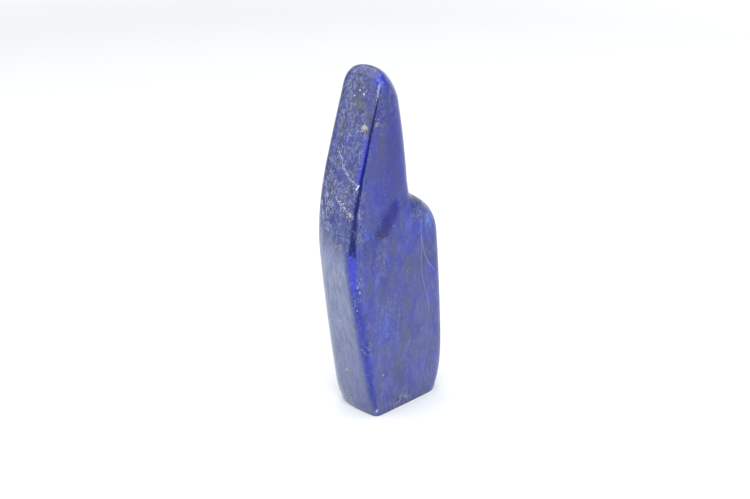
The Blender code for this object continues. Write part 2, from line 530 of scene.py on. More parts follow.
# scattered specks: one to a cell at most, each of its own size
fleckSize = {"spread": 0.8, "least": 0.5, "inner": 0.5}


def makeFleckGroup():
    sockets = {"Place": origin, "Cells": 1.0, "Share": 0.2, "Size": 0.2}
    tree, given, result = newGroup("flecks", sockets, ["Mask"])
    cells = put(tree, "ShaderNodeTexVoronoi", {"Vector": given["Place"], "Scale": given["Cells"]})
    chance = put(tree, "ShaderNodeSeparateColor", {0: cells.outputs["Color"]}).outputs
    kept = number(tree, "LESS_THAN", chance[0], given["Share"])
    uneven = number(tree, "MULTIPLY_ADD", chance[1], fleckSize["spread"], fleckSize["least"])
    size = times(tree, given["Size"], uneven)
    mask = fade(tree, cells.outputs["Distance"], times(tree, size, fleckSize["inner"]), size, 1.0, 0.0)
    feed(tree, result, {"Mask": times(tree, mask, kept)})
    return tree


# mineral grains: small upright cells, each with a shade, a hue and a chance of its own
grainStir = {"noise": (0.8, 1.0), "reach": (2.2, 2.2, 1.6)}


def makeGrainGroup():
    tree, given, result = newGroup("grains", {"Place": origin, "Across": 0.45, "Rise": 1.1},
                                   ["Shade", "Hue", "Chance"])
    size = combined(tree, given["Across"], given["Across"], given["Rise"])
    cell = vector(tree, "DIVIDE", given["Place"], size)
    cell = shifted(tree, cell, wandering(tree, cell, *grainStir["noise"]), grainStir["reach"])
    cells = put(tree, "ShaderNodeTexVoronoi", {"Vector": cell, "Scale": 1.0})
    random = put(tree, "ShaderNodeSeparateColor", {0: cells.outputs["Color"]}).outputs
    feed(tree, result, dict(zip(("Shade", "Hue", "Chance"), random)))
    return tree


# the body of the stone: blue with darker clouds, soft grey smears and a mottle of upright mineral grains
lapisBody = {
    "blue": (0.009, 0.018, 0.3),
    "deepBlue": (0.006, 0.012, 0.205),
    "brightBlue": (0.026, 0.056, 0.4),
    "steelBlue": (0.024, 0.033, 0.14),
    "greyMatrix": (0.05, 0.066, 0.135),
    "darkGrain": (0.007, 0.01, 0.075),
    "oliveGrain": (0.062, 0.068, 0.072),
    "paleGrain": (0.215, 0.245, 0.37),
    "tanGrain": (0.18, 0.172, 0.15),
    "calcite": (0.3, 0.34, 0.46),
    "milk": (0.115, 0.122, 0.26),
    "grainSize": (0.42, 1.05),
    "clusterSize": (1.5, 3.2),
    "clusterShade": 0.38,
    "clusterHue": 0.4,
    # noises: stretch upwards, scale, detail, roughness
    "clouds": (0.6, 0.10, 2.0),
    "smears": (0.5, 0.21, 3.0, 0.5),
    "streaks": (0.16, 0.8, 2.0, 0.6),
    "glow": (0.6, 0.24, 2.0),
    "glowShift": (31.0, 7.0, 31.6667),
    "relief": (0.6, 2.0, 2.0, 0.6),
    "drift": (0.16, 2.0),
    "driftReach": (7.0, 7.0, 10.0),
    # fades: where they start and end in the noise, and the shares there
    "cloudFade": (0.36, 0.62),
    "brightFade": (0.48, 0.72, 0.0, 0.7),
    "greyFade": (0.34, 0.70),
    "milkFade": (0.3, 0.7, 0.6, 1.3),
    "oliveFade": (0.50, 0.70),
    "darkFade": (0.24, 0.50, 1.0, 0.0),
    "paleFade": (0.54, 0.80),
    "tanFade": (0.90, 0.98),
    "streakFade": (0.35, 0.65, 0.92, 1.08),
    "smearRelief": 0.6,
    "dots": {"Cells": 0.7, "Share": 0.06, "Size": 0.14},
    "dotStrength": 0.6,
    "dotRelief": 0.3,
    "dotDullness": 0.5,
}


def makeBodyGroup(flecks, grains):
    tree, given, result = newGroup("lapisBody", {
        "Place": origin, "Mottle": 0.5, "Pale": 0.5, "Olive": 0.5, "Steel": 0.5, "Grey": 0.5, "Milk": 0.0},
        ["Color", "Tone", "Relief", "Dull"])
    place = given["Place"]
    bent = shifted(tree, place, wandering(tree, place, *lapisBody["drift"]), lapisBody["driftReach"])
    clouds = noise(tree, bent, *lapisBody["clouds"])
    smears = noise(tree, bent, *lapisBody["smears"])
    streaks = noise(tree, place, *lapisBody["streaks"])
    glow = noise(tree, vector(tree, "ADD", bent, lapisBody["glowShift"]), *lapisBody["glow"])
    clouds = fade(tree, clouds, *lapisBody["cloudFade"])
    color = blendColor(tree, clouds, lapisBody["deepBlue"], lapisBody["blue"])
    grey = times(tree, fade(tree, smears, *lapisBody["greyFade"]), given["Grey"])
    for name, share in (
            ("brightBlue", fade(tree, glow, *lapisBody["brightFade"])),
            ("steelBlue", given["Steel"]),
            ("greyMatrix", grey),
            ("milk", times(tree, fade(tree, glow, *lapisBody["milkFade"]), given["Milk"]))):
        color = blendColor(tree, share, color, lapisBody[name])
    sizes = ((place, *lapisBody["grainSize"]), (bent, *lapisBody["clusterSize"]))
    fine, large = [useGroup(tree, grains, {"Place": spot, "Across": across, "Rise": rise})
                   for spot, across, rise in sizes]
    tone = mixed(tree, lapisBody["clusterShade"], fine["Shade"], large["Shade"])
    hue = mixed(tree, lapisBody["clusterHue"], fine["Hue"], large["Hue"])
    for name, value, *shares in (
            ("olive", hue, given["Olive"]), ("dark", tone), ("pale", tone, given["Pale"]),
            ("tan", fine["Chance"], given["Olive"])):
        share = times(tree, fade(tree, value, *lapisBody[name + "Fade"]), *shares, given["Mottle"])
        color = blendColor(tree, share, color, lapisBody[name + "Grain"])
    shade = greyTone(tree, fade(tree, streaks, *lapisBody["streakFade"]))
    color = blendColor(tree, 1.0, color, shade, "MULTIPLY")
    dots = useGroup(tree, flecks, {"Place": bent, **lapisBody["dots"]})["Mask"]
    color = blendColor(tree, times(tree, dots, lapisBody["dotStrength"]), color, lapisBody["calcite"])
    relief = noise(tree, place, *lapisBody["relief"])
    for height, share in ((smears, lapisBody["smearRelief"]), (dots, lapisBody["dotRelief"])):
        relief = plus(tree, relief, times(tree, height, share))
    dull = plus(tree, grey, times(tree, dots, lapisBody["dotDullness"]))
    feed(tree, result, {"Color": color, "Tone": tone, "Relief": relief, "Dull": dull})
    return tree


# how far the course of a marking wanders, in mm
wanderReach = {"loose": (6.0, 6.0, 9.0), "jagged": (1.5, 1.5, 1.5), "steady": (0.5, 0.5, 0.5)}
wanderNoise = (0.9, 3.0)

markingColors = {
    "white": (0.27, 0.31, 0.43),
    "nick": (0.44, 0.48, 0.7),
    "cream": (0.48, 0.44, 0.42),
    "tan": lapisBody["tanGrain"],
    "hairline": (0.24, 0.24, 0.38),
    "dot": (0.34, 0.38, 0.52),
}

# veins and hairlines: colour, half width in mm, strength, course, then pixels of the photo
veins = {
    "whiteVein": ("white", 0.15, 0.8, "jagged", [(340.5, 153.5), (342, 158.5), (343, 167), (346, 171.5),
        (348.5, 176.5), (350.5, 180.5), (354, 182.5), (357.5, 187.0)]),
    "whiteNick": ("nick", 0.3, 0.95, "straight", [(356.2, 189.8), (357.4, 188.0), (358.8, 186.0)]),
    "whiteSpur": ("white", 0.15, 0.65, "jagged", [(324.5, 172), (330, 171), (333.5, 174)]),
    "creamUpper": ("cream", 0.24, 0.8, "loose", [(337.5, 200), (341, 205), (344.5, 210)]),
    "creamLower": ("cream", 0.24, 0.85, "loose", [(346.5, 213), (350, 215.2), (353.5, 216.5)]),
    "tanWaist": ("tan", 0.24, 0.6, "loose", [(331, 241), (336, 245), (341, 247.5)]),
    "tanLow": ("tan", 0.24, 0.9, "jagged", [(337.5, 299), (339.5, 305), (341, 310)]),
    "longHairline": ("hairline", 0.13, 0.55, "steady", [(421.2, 218), (421.5, 236), (421.5, 255),
        (421.6, 272), (423.1, 280), (425, 287.5), (427.4, 296), (429.4, 311)]),
    "shortHairline": ("hairline", 0.13, 0.75, "steady", [(421.5, 236), (423, 245), (425, 255), (428, 261.5),
        (434.2, 269.2)]),
}

# the same on the back, by place across and height in mm
backVeins = {
    "calciteVein": ("white", 0.15, 0.8, "jagged", [(-21, 84), (-16, 86), (-12, 91), (-9, 93), (-5, 99),
        (1, 101)]),
    "calciteSpur": ("white", 0.15, 0.6, "jagged", [(-12, 91), (-11, 97), (-7, 103)]),
    "paleSeam": ("hairline", 0.13, 0.7, "jagged", [(12, 70), (13, 58), (10, 46), (11, 33), (8, 20)]),
}

# white dots: pixel, reach in mm
whiteDots = [
    (358, 287.8, 0.28), (360, 292.8, 0.28), (343, 273.3, 0.24), (357.4, 311, 0.28), (360, 89.8, 0.28),
    (364.2, 94, 0.28), (354.8, 95.5, 0.24), (383, 375.5, 0.3), (376.8, 411, 0.5), (340, 321, 0.26),
    (346.5, 369, 0.3),
]
dotShape = {"rise": 1.3, "soft": 0.6}

# patches: pixel, reach across and up in mm, softness, strength, colour
patches = {
    "brightShoulder": ((429, 219), (2.2, 3.2), 0.8, 0.55, (0.03, 0.12, 0.52)),
    "oliveCrown": ((358.5, 101), (2.6, 5.0), 0.8, 0.62, (0.034, 0.04, 0.052)),
    "greyTop": ((361, 74), (3.0, 2.6), 0.9, 0.35, (0.06, 0.068, 0.095)),
    "greyUnderDark": ((394, 246), (2.0, 4.0), 0.7, 0.65, (0.04, 0.052, 0.085)),
    "greyMiddle": ((371, 288), (1.8, 4.0), 0.7, 0.6, (0.036, 0.048, 0.09)),
    "greyRight": ((408, 268), (2.6, 4.6), 0.8, 0.52, (0.04, 0.056, 0.1)),
    "greyRightLow": ((408, 305), (2.2, 3.0), 0.9, 0.4, (0.04, 0.054, 0.095)),
    "greyLow": ((404, 330), (2.6, 6.0), 0.8, 0.58, (0.04, 0.056, 0.095)),
    "greyFoot": ((398, 365), (4.5, 6.0), 0.9, 0.45, (0.044, 0.058, 0.11)),
    "greyFinger": ((380, 148), (2.0, 6.0), 0.7, 0.7, (0.032, 0.04, 0.095)),
    "greyFingerTop": ((388, 112), (2.4, 5.0), 0.9, 0.5, (0.036, 0.044, 0.1)),
    "greyFingerEdge": ((396, 178), (2.2, 4.6), 0.8, 0.55, (0.03, 0.038, 0.11)),
    "greyNotch": ((392, 196), (2.0, 3.6), 0.9, 0.4, (0.036, 0.048, 0.09)),
    "blueLow": ((386, 328), (3.6, 6.5), 0.8, 0.55, (0.026, 0.06, 0.4)),
    "blueFinger": ((376, 192), (3.0, 5.0), 0.9, 0.35, (0.012, 0.02, 0.34)),
    "deepFinger": ((390, 152), (8.0, 24.0), 0.9, 0.7, (0.011, 0.014, 0.165)),
    # painted glow of saturated blue and a painted lavender highlight around the top of the arris, where the
    # key light's highlight falls
    "paintedBlueGlow": ((379.5, 79), (2.2, 3.0), 0.9, 0.6, (0.024, 0.04, 0.4)),
    "paintedLavenderHighlight": ((381, 83), (0.8, 2.2), 0.9, 0.55, (0.17, 0.18, 0.56)),
    # painted dark reflection on the arris, part of the dark line that the room beside the camera makes there
    "darkArrisReflection": ((369.5, 119), (1.3, 1.6), 0.7, 0.75, (0.03, 0.032, 0.052)),
    "darkPit": ((357, 312), (1.1, 3.0), 0.6, 0.75, (0.01, 0.014, 0.07)),
    "darkSpeck": ((366, 358), (0.9, 2.0), 0.6, 0.6, (0.012, 0.016, 0.08)),
    "darkFoot": ((370.5, 392), (0.9, 3.2), 0.6, 0.65, (0.01, 0.014, 0.07)),
    "goldFoot": ((346, 369), (0.9, 1.0), 0.6, 0.5, (0.09, 0.095, 0.09)),
}

# the same for dark patches that also lose part of the clear film, the last value being that loss; the patch
# at the notch is painted shade on the ledge
dullPatches = {
    "darkBlueUpper": ((394, 209), (3.2, 3.4), 0.55, 1.0, (0.003, 0.005, 0.165), 0.5),
    "darkBlueMiddle": ((388, 221), (3.8, 3.4), 0.7, 1.0, (0.003, 0.005, 0.14), 0.5),
    "darkBlueLower": ((383, 232), (4.2, 2.6), 0.55, 1.0, (0.005, 0.008, 0.115), 0.45),
    "darkBlueEdge": ((379, 235), (2.4, 2.0), 0.7, 0.85, (0.008, 0.011, 0.09), 0.45),
    # painted shade on the ledge in the notch, with the clear film taken off there to dim its reflection
    "notchLedgeShade": ((416, 201), (6.0, 3.2), 0.6, 0.55, (0.028, 0.042, 0.13), 0.95),
}

# patches of the back, by place across and height in mm
backPatches = {
    "greyHigh": ((-14, 118), (4.0, 9.0), 0.9, 0.55, (0.05, 0.06, 0.11)),
    "greyMiddle": ((4, 60), (6.0, 11.0), 0.9, 0.55, (0.05, 0.062, 0.12)),
    "greyCorner": ((19, 30), (4.0, 10.0), 0.9, 0.5, (0.046, 0.056, 0.105)),
    "blueHigh": ((-18, 96), (3.0, 9.0), 0.95, 0.4, (0.012, 0.02, 0.26)),
    "blueMiddle": ((-8, 40), (5.0, 14.0), 0.95, 0.42, (0.012, 0.022, 0.28)),
    "darkLow": ((-4, 15), (5.0, 6.0), 0.9, 0.7, (0.005, 0.008, 0.15)),
    "brightCorner": ((20, 76), (3.5, 6.0), 0.9, 0.4, (0.03, 0.08, 0.38)),
}

# where the grain differs: pixel, reach across and up in mm, softness, then added mottle, pale and olive
grainAreas = {
    "shoulderSpeckle": ((417, 211), (3.6, 3.6), 0.8, 0.45, 0.6, 0.0),
    "brightSpeckle": ((429, 219), (2.6, 3.4), 0.8, 0.5, 0.8, 0.0),
    "footRight": ((402, 398), (6.0, 1.6), 0.8, 0.75, 1.0, 0.0),
    "footLeft": ((352, 396), (3.0, 1.9), 0.8, 0.75, 1.0, 0.0),
    "besideRoyal": ((358, 286), (2.4, 7.5), 0.8, 0.45, 0.5, 0.1),
    "broadMiddle": ((388, 322), (4.0, 8.0), 0.9, 0.25, 0.5, 0.1),
    "broadUpper": ((380, 262), (4.0, 8.0), 0.9, 0.12, 0.4, 0.1),
    "besideArrisTop": ((383, 110), (1.8, 7.0), 0.8, 0.45, 0.3, 0.7),
    "besideArrisWaist": ((361, 224), (1.7, 9.0), 0.8, 0.45, 0.3, 0.6),
    "paleWaist": ((324, 206), (3.6, 11.0), 0.9, 0.1, 0.6, 0.0),
    "oliveWaist": ((342, 210), (4.0, 9.0), 0.9, 0.1, 0.0, 0.5),
    "oliveTop": ((360, 88), (4.0, 8.0), 0.9, 0.1, 0.0, 0.4),
    "lowArris": ((367, 350), (1.6, 14.0), 0.9, 0.45, 0.4, 0.3),
    "paleFinger": ((393, 102), (2.8, 6.0), 0.8, 0.5, 0.7, 0.2),
    "fingerMiddle": ((382, 140), (2.8, 9.0), 0.9, 0.34, 0.2, 0.7),
    "smoothCrown": ((371, 110), (1.8, 4.5), 0.9, -0.45, -0.3, -0.3),
    "smoothWaist": ((347, 232), (2.0, 3.0), 0.9, -0.35, -0.3, -0.3),
}

# zones along the long arris: pixels at the upper and lower end, reach to either side in mm at each end,
# width of the edges, unevenness, strength, loss of clear film, colour
arrisZones = {
    "blueStripe": ((369, 138), (360, 184), ((-1.8, 0.2), (-1.8, 0.3)), 1.0, 1.0, 0.7, 0.0,
        (0.018, 0.024, 0.34)),
    "royalFlank": ((351.3, 256), (372, 398), ((-2.6, 3.8), (-3.0, 2.0)), 2.4, 4.0, 0.45, 0.0,
        (0.022, 0.04, 0.34)),
    "deepBand": ((355, 294), (374, 410), ((-1.6, 2.2), (-1.5, 1.6)), 1.3, 4.0, 0.62, 0.3,
        (0.009, 0.015, 0.22)),
    "royalCore": ((351.2, 257), (354.4, 292), ((-1.3, 2.2), (-1.8, 2.0)), 1.8, 4.0, 0.78, 0.3,
        (0.016, 0.026, 0.4)),
    # the dark line and dark band zones below are painted reflection: the dark room on the camera side seen in
    # the rounded arris
    "darkReflectionLineUpper": ((377, 105), (368.8, 143), ((-0.25, 0.6), (-0.5, 0.75)), 0.3, 0.3, 0.95, 1.0,
        (0.005, 0.005, 0.045)),
    "darkReflectionLineLower": ((368.8, 141), (360, 189), ((-0.5, 0.75), (-0.4, 1.1)), 0.3, 0.3, 0.96, 1.0,
        (0.003, 0.004, 0.115)),
    "darkReflectionBandUpper": ((360, 187), (353.8, 220), ((-0.1, 1.6), (-0.4, 1.6)), 0.4, 0.7, 0.95, 1.0,
        (0.006, 0.009, 0.075)),
    "darkReflectionBandLower": ((353.8, 217), (351.2, 258), ((-0.4, 1.7), (-1.2, 2.5)), 1.3, 2.4, 0.96, 1.0,
        (0.006, 0.009, 0.075)),
}

# shares given twice are at the foot of the stone and higher up
finish = {
    "ior": 1.2,
    "coatIor": 1.42,
    "coatRoughness": 0.10,
    "roughness": 0.30,
    "dullness": 0.20,
    "reliefDepth": 0.00004,
    # the haze on the lower left face is partly painted reflection: a pale sheen of the floor, stronger higher
    # up
    "hazeAndSheenColor": (0.222, 0.254, 0.345),
    "hazeAndSheenShare": (0.14, 0.7),
    "hazeAndSheenTop": (346, 266),
    "hazeAndSheenBeside": (-4.6, -1.8, 1.0, 0.0),
    "hazeAndSheenStreaks": (0.15, 0.7, 3.0),
    "hazeAndSheenFade": (0.3, 0.7, 0.55, 1.1),
    "hazeAndSheenTone": (0.2, 0.8, 0.96, 1.04),
    "greyShare": (0.75, 0.5),
    "greyTop": 90.0,
    "milkShare": (0.34, 0.0),
    "milkTop": 80.0,
    "steelElsewhere": 0.66,
    # mottle, pale and olive
    "grainOnBroad": (0.12, 0.55, 0.24),
    "grainOnLowLeft": (0.15, 0.6, 0.8),
    "grainElsewhere": (0.68, 0.42, 0.5),
    "grainUneven": ((0.7, 1.35), (1.5, 0.6), (0.3, 1.9)),
    "unevenNoise": (0.6, 0.16, 2.0),
    "unevenFade": (0.35, 0.65),
    "brokenNoise": (0.5, 1.0, 4.0, 0.7),
    "brokenFade": (0.36, 0.58, 0.45, 1.0),
    "brokenLeast": 0.9,
    "zoneWanderUp": 6.0,
    "goldColor": (0.3, 0.275, 0.215),
    "goldLumps": (0.5, 2.6, 3.0, 0.7),
    "goldFade": (0.66, 0.72),
    "goldNearPyrite": 0.10,
    "goldMetallic": 0.5,
    # a thin dark line at the foot: partly the unpolished sawn edge, partly painted contact shadow where the
    # stone meets the floor
    "baseEdgeAndShadowColor": (0.05, 0.044, 0.05),
    "baseEdgeAndShadowFade": (0.27, 0.45, 0.7, 0.0),
    "veinEdge": (0.3, 1.4),
    "farAway": 99.0,
}


def newMaterial(name):
    material = bpy.data.materials.new(name)
    material.use_nodes = True
    return material, material.node_tree, material.node_tree.nodes["Principled BSDF"]


def millimetres(tree):
    return scaled(tree, tree.nodes.new("ShaderNodeTexCoord").outputs["Object"], 1.0 / mm)


def addVein(tree, color, group, course, points, halfWidth, veinColor, strength):
    gap = finish["farAway"]
    for (start, facing), (end, _) in zip(points, points[1:]):
        along = end - start
        stretch = {"Place": course, "Start": start, "Along": along, "Depth": facing}
        stretch["Per Length"] = along / along.length_squared
        gap = number(tree, "MINIMUM", useGroup(tree, group, stretch)["Gap"], gap)
    inner, outer = finish["veinEdge"]
    mask = fade(tree, gap, halfWidth * inner, halfWidth * outer, strength, 0.0)
    return blendColor(tree, mask, color, veinColor)


def addArrisZone(tree, zone, level, across, wander, broken, onStone):
    upper, lower, reaches, soft, rough, strength, filmLoss, zoneColor = zone
    uneven = separated(tree, wander)
    across = plus(tree, across, times(tree, uneven[0], rough))
    level = plus(tree, level, times(tree, uneven[1], rough * finish["zoneWanderUp"]))
    top, bottom = [onStone(*pixel)[0].z for pixel in (upper, lower)]
    mask = times(tree, fade(tree, level, bottom - soft, bottom + soft),
                 fade(tree, level, top - soft, top + soft, 1.0, 0.0))
    half = soft / 2.0
    for atTop, atBottom, first in zip(*reaches, (0.0, 1.0)):
        edge = ramp(tree, level, bottom, top, atBottom, atTop)
        beyond = number(tree, "SUBTRACT", across, edge)
        mask = times(tree, mask, fade(tree, beyond, -half, half, first, 1.0 - first))
    if rough > 1.0:
        mask = times(tree, mask, number(tree, "MAXIMUM", broken, strength * finish["brokenLeast"]))
    return times(tree, mask, strength), times(tree, mask, filmLoss), zoneColor


# how strong, how pale and how olive the grain is over the stone
def addGrainShares(tree, loose, patch, onStone):
    frontFace = attribute(tree, "frontFace")
    lowLeft = times(tree, attribute(tree, "lowLeft"), attribute(tree, "leftFace"))
    shares = []
    for elsewhere, onLowLeft, onBroad in zip(
            finish["grainElsewhere"], finish["grainOnLowLeft"], finish["grainOnBroad"]):
        share = ramp(tree, lowLeft, 0.0, 1.0, elsewhere, onLowLeft)
        shares.append(ramp(tree, frontFace, 0.0, 1.0, share, onBroad))
    for pixel, reach, soft, *added in grainAreas.values():
        mask = patchMask(tree, patch, loose, onStone(*pixel), *reach, soft)
        for index, change in enumerate(added):
            if change:
                shares[index] = plus(tree, shares[index], times(tree, mask, change))
    uneven = noise(tree, loose, *finish["unevenNoise"])
    for index, limits in enumerate(finish["grainUneven"]):
        change = fade(tree, uneven, *finish["unevenFade"], *limits)
        shares[index] = clamped(tree, times(tree, shares[index], change))
    return shares, ramp(tree, frontFace, 0.0, 1.0, finish["steelElsewhere"], 0.0), lowLeft


def makePolishedLapis(groups, onStone, behindStone):
    material, tree, shader = newMaterial("polishedLapis")
    place = millimetres(tree)
    level = separated(tree, place)[2]
    across = attribute(tree, "arrisAcross")
    arrisNear = attribute(tree, "arrisNear")
    wander = wandering(tree, place, *wanderNoise)
    courses = {name: shifted(tree, place, wander, reach) for name, reach in wanderReach.items()}
    courses["straight"] = place
    shares, steel, lowLeft = addGrainShares(tree, courses["loose"], groups["patch"], onStone)
    mottle, pale, olive = shares
    grey = ramp(tree, level, 0.0, finish["greyTop"], *finish["greyShare"])
    milk = ramp(tree, level, 0.0, finish["milkTop"], *finish["milkShare"])
    body = useGroup(tree, groups["body"], {
        "Place": place, "Mottle": mottle, "Pale": pale, "Olive": olive,
        "Steel": steel, "Grey": grey, "Milk": milk})
    filmLost = 0.0
    color = body["Color"]
    spots = [(onStone(*pixel), *rest) for pixel, *rest in (*patches.values(), *dullPatches.values())]
    spots += [(behindStone(*spot), *rest) for spot, *rest in backPatches.values()]
    for spot, reach, soft, strength, patchColor, *filmLoss in spots:
        mask = patchMask(tree, groups["patch"], courses["loose"], spot, *reach, soft)
        color = blendColor(tree, times(tree, mask, strength), color, patchColor)
        if filmLoss:
            filmLost = number(tree, "MAXIMUM", times(tree, mask, *filmLoss), filmLost)
    broken = fade(tree, noise(tree, place, *finish["brokenNoise"]), *finish["brokenFade"])
    for zone in arrisZones.values():
        mask, filmLoss, zoneColor = addArrisZone(tree, zone, level, across, wander, broken, onStone)
        color = blendColor(tree, times(tree, mask, arrisNear), color, zoneColor)
        filmLost = number(tree, "MAXIMUM", times(tree, filmLoss, arrisNear), filmLost)
    # pale haze on the lower left face, partly painted reflection of the pale floor, stronger higher up and
    # kept off the arris
    hazeAndSheen = times(tree, fade(tree, noise(tree, place, *finish["hazeAndSheenStreaks"]), *finish["hazeAndSheenFade"]),
                 fade(tree, body["Tone"], *finish["hazeAndSheenTone"]), lowLeft,
                 ramp(tree, level, 0.0, onStone(*finish["hazeAndSheenTop"])[0].z, *finish["hazeAndSheenShare"]),
                 fade(tree, across, *finish["hazeAndSheenBeside"]))
    color = blendColor(tree, hazeAndSheen, color, finish["hazeAndSheenColor"])
    drawn = [(onStone, *vein) for vein in veins.values()]
    drawn += [(behindStone, *vein) for vein in backVeins.values()]
    for seek, colorName, halfWidth, strength, course, spots in drawn:
        points = [seek(*spot) for spot in spots]
        color = addVein(tree, color, groups["vein"], courses[course], points, halfWidth,
                        markingColors[colorName], strength)
    for *pixel, reach in whiteDots:
        mask = patchMask(tree, groups["patch"], courses["jagged"], onStone(*pixel),
                         reach, reach * dotShape["rise"], dotShape["soft"])
        color = blendColor(tree, mask, color, markingColors["dot"])
    lumps = noise(tree, place, *finish["goldLumps"])
    nearPyrite = times(tree, attribute(tree, "pyriteShare"), finish["goldNearPyrite"])
    gold = fade(tree, plus(tree, lumps, nearPyrite), *finish["goldFade"])
    color = blendColor(tree, gold, color, finish["goldColor"])
    # thin dark line at the foot, partly sawn edge and partly painted contact shadow
    color = blendColor(tree, fade(tree, level, *finish["baseEdgeAndShadowFade"]), color, finish["baseEdgeAndShadowColor"])
    relief = {"Strength": 1.0, "Distance": finish["reliefDepth"], "Height": body["Relief"]}
    feed(tree, shader, {
        "Base Color": color,
        "Metallic": times(tree, gold, finish["goldMetallic"]),
        "Roughness": number(tree, "MULTIPLY_ADD", body["Dull"], finish["dullness"], finish["roughness"]),
        "Normal": put(tree, "ShaderNodeBump", relief).outputs["Normal"],
        "IOR": finish["ior"],
        "Coat Weight": number(tree, "SUBTRACT", 1.0, filmLost),
        "Coat Roughness": finish["coatRoughness"],
        "Coat IOR": finish["coatIor"]})
    return material


# the underside, sawn flat and left unpolished
sawnFace = {
    "body": {"Mottle": 0.6, "Pale": 0.5, "Olive": 0.4, "Steel": 0.4, "Grey": 0.8},
    "sawMiddle": (0.0, 62.0, 0.0),
    "marks": {"Scale": 0.42, "Distortion": 0.6, "Detail": 2.0},
    "dust": (0.35, (0.200, 0.210, 0.260)),
    "markLight": (0.2, (0.260, 0.270, 0.320)),
    "roughness": 0.62,
    "reliefDepth": 0.00006,
}


def makeSawnLapis(groups):
    material, tree, shader = newMaterial("sawnLapis")
    place = millimetres(tree)
    body = useGroup(tree, groups["body"], {"Place": place, **sawnFace["body"]})
    saw = {"Vector": vector(tree, "ADD", place, sawnFace["sawMiddle"]), **sawnFace["marks"]}
    saw = put(tree, "ShaderNodeTexWave", saw, wave_type="RINGS", rings_direction="Z").outputs["Fac"]
    dustShare, dustColor = sawnFace["dust"]
    markShare, markColor = sawnFace["markLight"]
    color = blendColor(tree, dustShare, body["Color"], dustColor)
    color = blendColor(tree, times(tree, saw, markShare), color, markColor)
    relief = {"Strength": 1.0, "Distance": sawnFace["reliefDepth"], "Height": plus(tree, saw, body["Relief"])}
    feed(tree, shader, {
        "Base Color": color,
        "Roughness": sawnFace["roughness"],
        "Normal": put(tree, "ShaderNodeBump", relief).outputs["Normal"]})
    return material


pyriteMetal = {
    "dark": (0.260, 0.230, 0.170),
    "bright": (0.520, 0.470, 0.370),
    "shade": (1.0, 1.1, 2.0),
    "colorFade": (0.35, 0.65),
    "roughnessFade": (0.3, 0.7, 0.28, 0.5),
}


def makePyriteMaterial():
    material, tree, shader = newMaterial("pyrite")
    shade = noise(tree, millimetres(tree), *pyriteMetal["shade"])
    lightness = fade(tree, shade, *pyriteMetal["colorFade"])
    feed(tree, shader, {
        "Base Color": blendColor(tree, lightness, pyriteMetal["dark"], pyriteMetal["bright"]),
        "Roughness": fade(tree, shade, *pyriteMetal["roughnessFade"]),
        "Metallic": 1.0})
    return material


def newGeometryTree(name, inputs):
    tree = bpy.data.node_groups.new(name, "GeometryNodeTree")
    tree.interface.new_socket("Geometry", in_out="INPUT", socket_type="NodeSocketGeometry")
    for socketName, kind in inputs.items():
        tree.interface.new_socket(socketName, in_out="INPUT", socket_type="NodeSocket" + kind)
    tree.interface.new_socket("Geometry", in_out="OUTPUT", socket_type="NodeSocketGeometry")
    return tree, tree.nodes.new("NodeGroupInput").outputs, tree.nodes.new("NodeGroupOutput")


# runs a geometry tree on an object and leaves a plain mesh
def applyTree(piece, tree, values):
    modifier = piece.modifiers.new(tree.name, "NODES")
    modifier.node_group = tree
    sockets = {item.name: item.identifier for item in tree.interface.items_tree if item.in_out == "INPUT"}
    for name, value in values.items():
        modifier[sockets[name]] = value
    bpy.context.view_layer.update()
    graph = bpy.context.evaluated_depsgraph_get()
    shaped = piece.evaluated_get(graph)
    mesh = bpy.data.meshes.new_from_object(shaped, preserve_all_data_layers=True, depsgraph=graph)
    piece.modifiers.remove(modifier)
    piece.data = mesh


# hand polishing leaves the faces slightly wavy; depth, length and even foot in metres
polish = {"Wave Depth": 0.00005, "Wave Length": 0.013, "Even Foot": 0.004, "Seed": 3.7}
polishLimits = {"footStart": 0.0002, "underFacing": -0.9}


def makePolishTree():
    tree, given, result = newGeometryTree("polishWaves", {
        "Wave Depth": "Float", "Wave Length": "Float", "Even Foot": "Float", "Seed": "Float",
        "Polished": "Material", "Sawn": "Material"})
    place = tree.nodes.new("GeometryNodeInputPosition").outputs[0]
    normal = tree.nodes.new("GeometryNodeInputNormal").outputs[0]
    waveLength = given["Wave Length"]
    waves = {"Vector": vector(tree, "DIVIDE", place, combined(tree, waveLength, waveLength, waveLength)),
             "W": given["Seed"], "Scale": 1.0, "Detail": 2.0}
    waves = put(tree, "ShaderNodeTexNoise", waves, noise_dimensions="4D").outputs[0]
    height = times(tree, number(tree, "SUBTRACT", waves, 0.5), given["Wave Depth"])
    level = separated(tree, place)[2]
    height = times(tree, height, fade(tree, level, polishLimits["footStart"], given["Even Foot"]))
    moved = {"Geometry": given["Geometry"], "Offset": scaled(tree, normal, height)}
    moved = put(tree, "GeometryNodeSetPosition", moved).outputs[0]
    real = put(tree, "GeometryNodeRealizeInstances", {"Geometry": moved}).outputs[0]
    polished = {"Geometry": real, "Material": given["Polished"]}
    polished = put(tree, "GeometryNodeSetMaterial", polished).outputs[0]
    under = put(tree, "FunctionNodeCompare", {0: separated(tree, normal)[2], 1: polishLimits["underFacing"]},
                data_type="FLOAT", operation="LESS_THAN").outputs[0]
    sawn = {"Geometry": polished, "Selection": under, "Material": given["Sawn"]}
    feed(tree, result, {0: put(tree, "GeometryNodeSetMaterial", sawn).outputs[0]})
    return tree


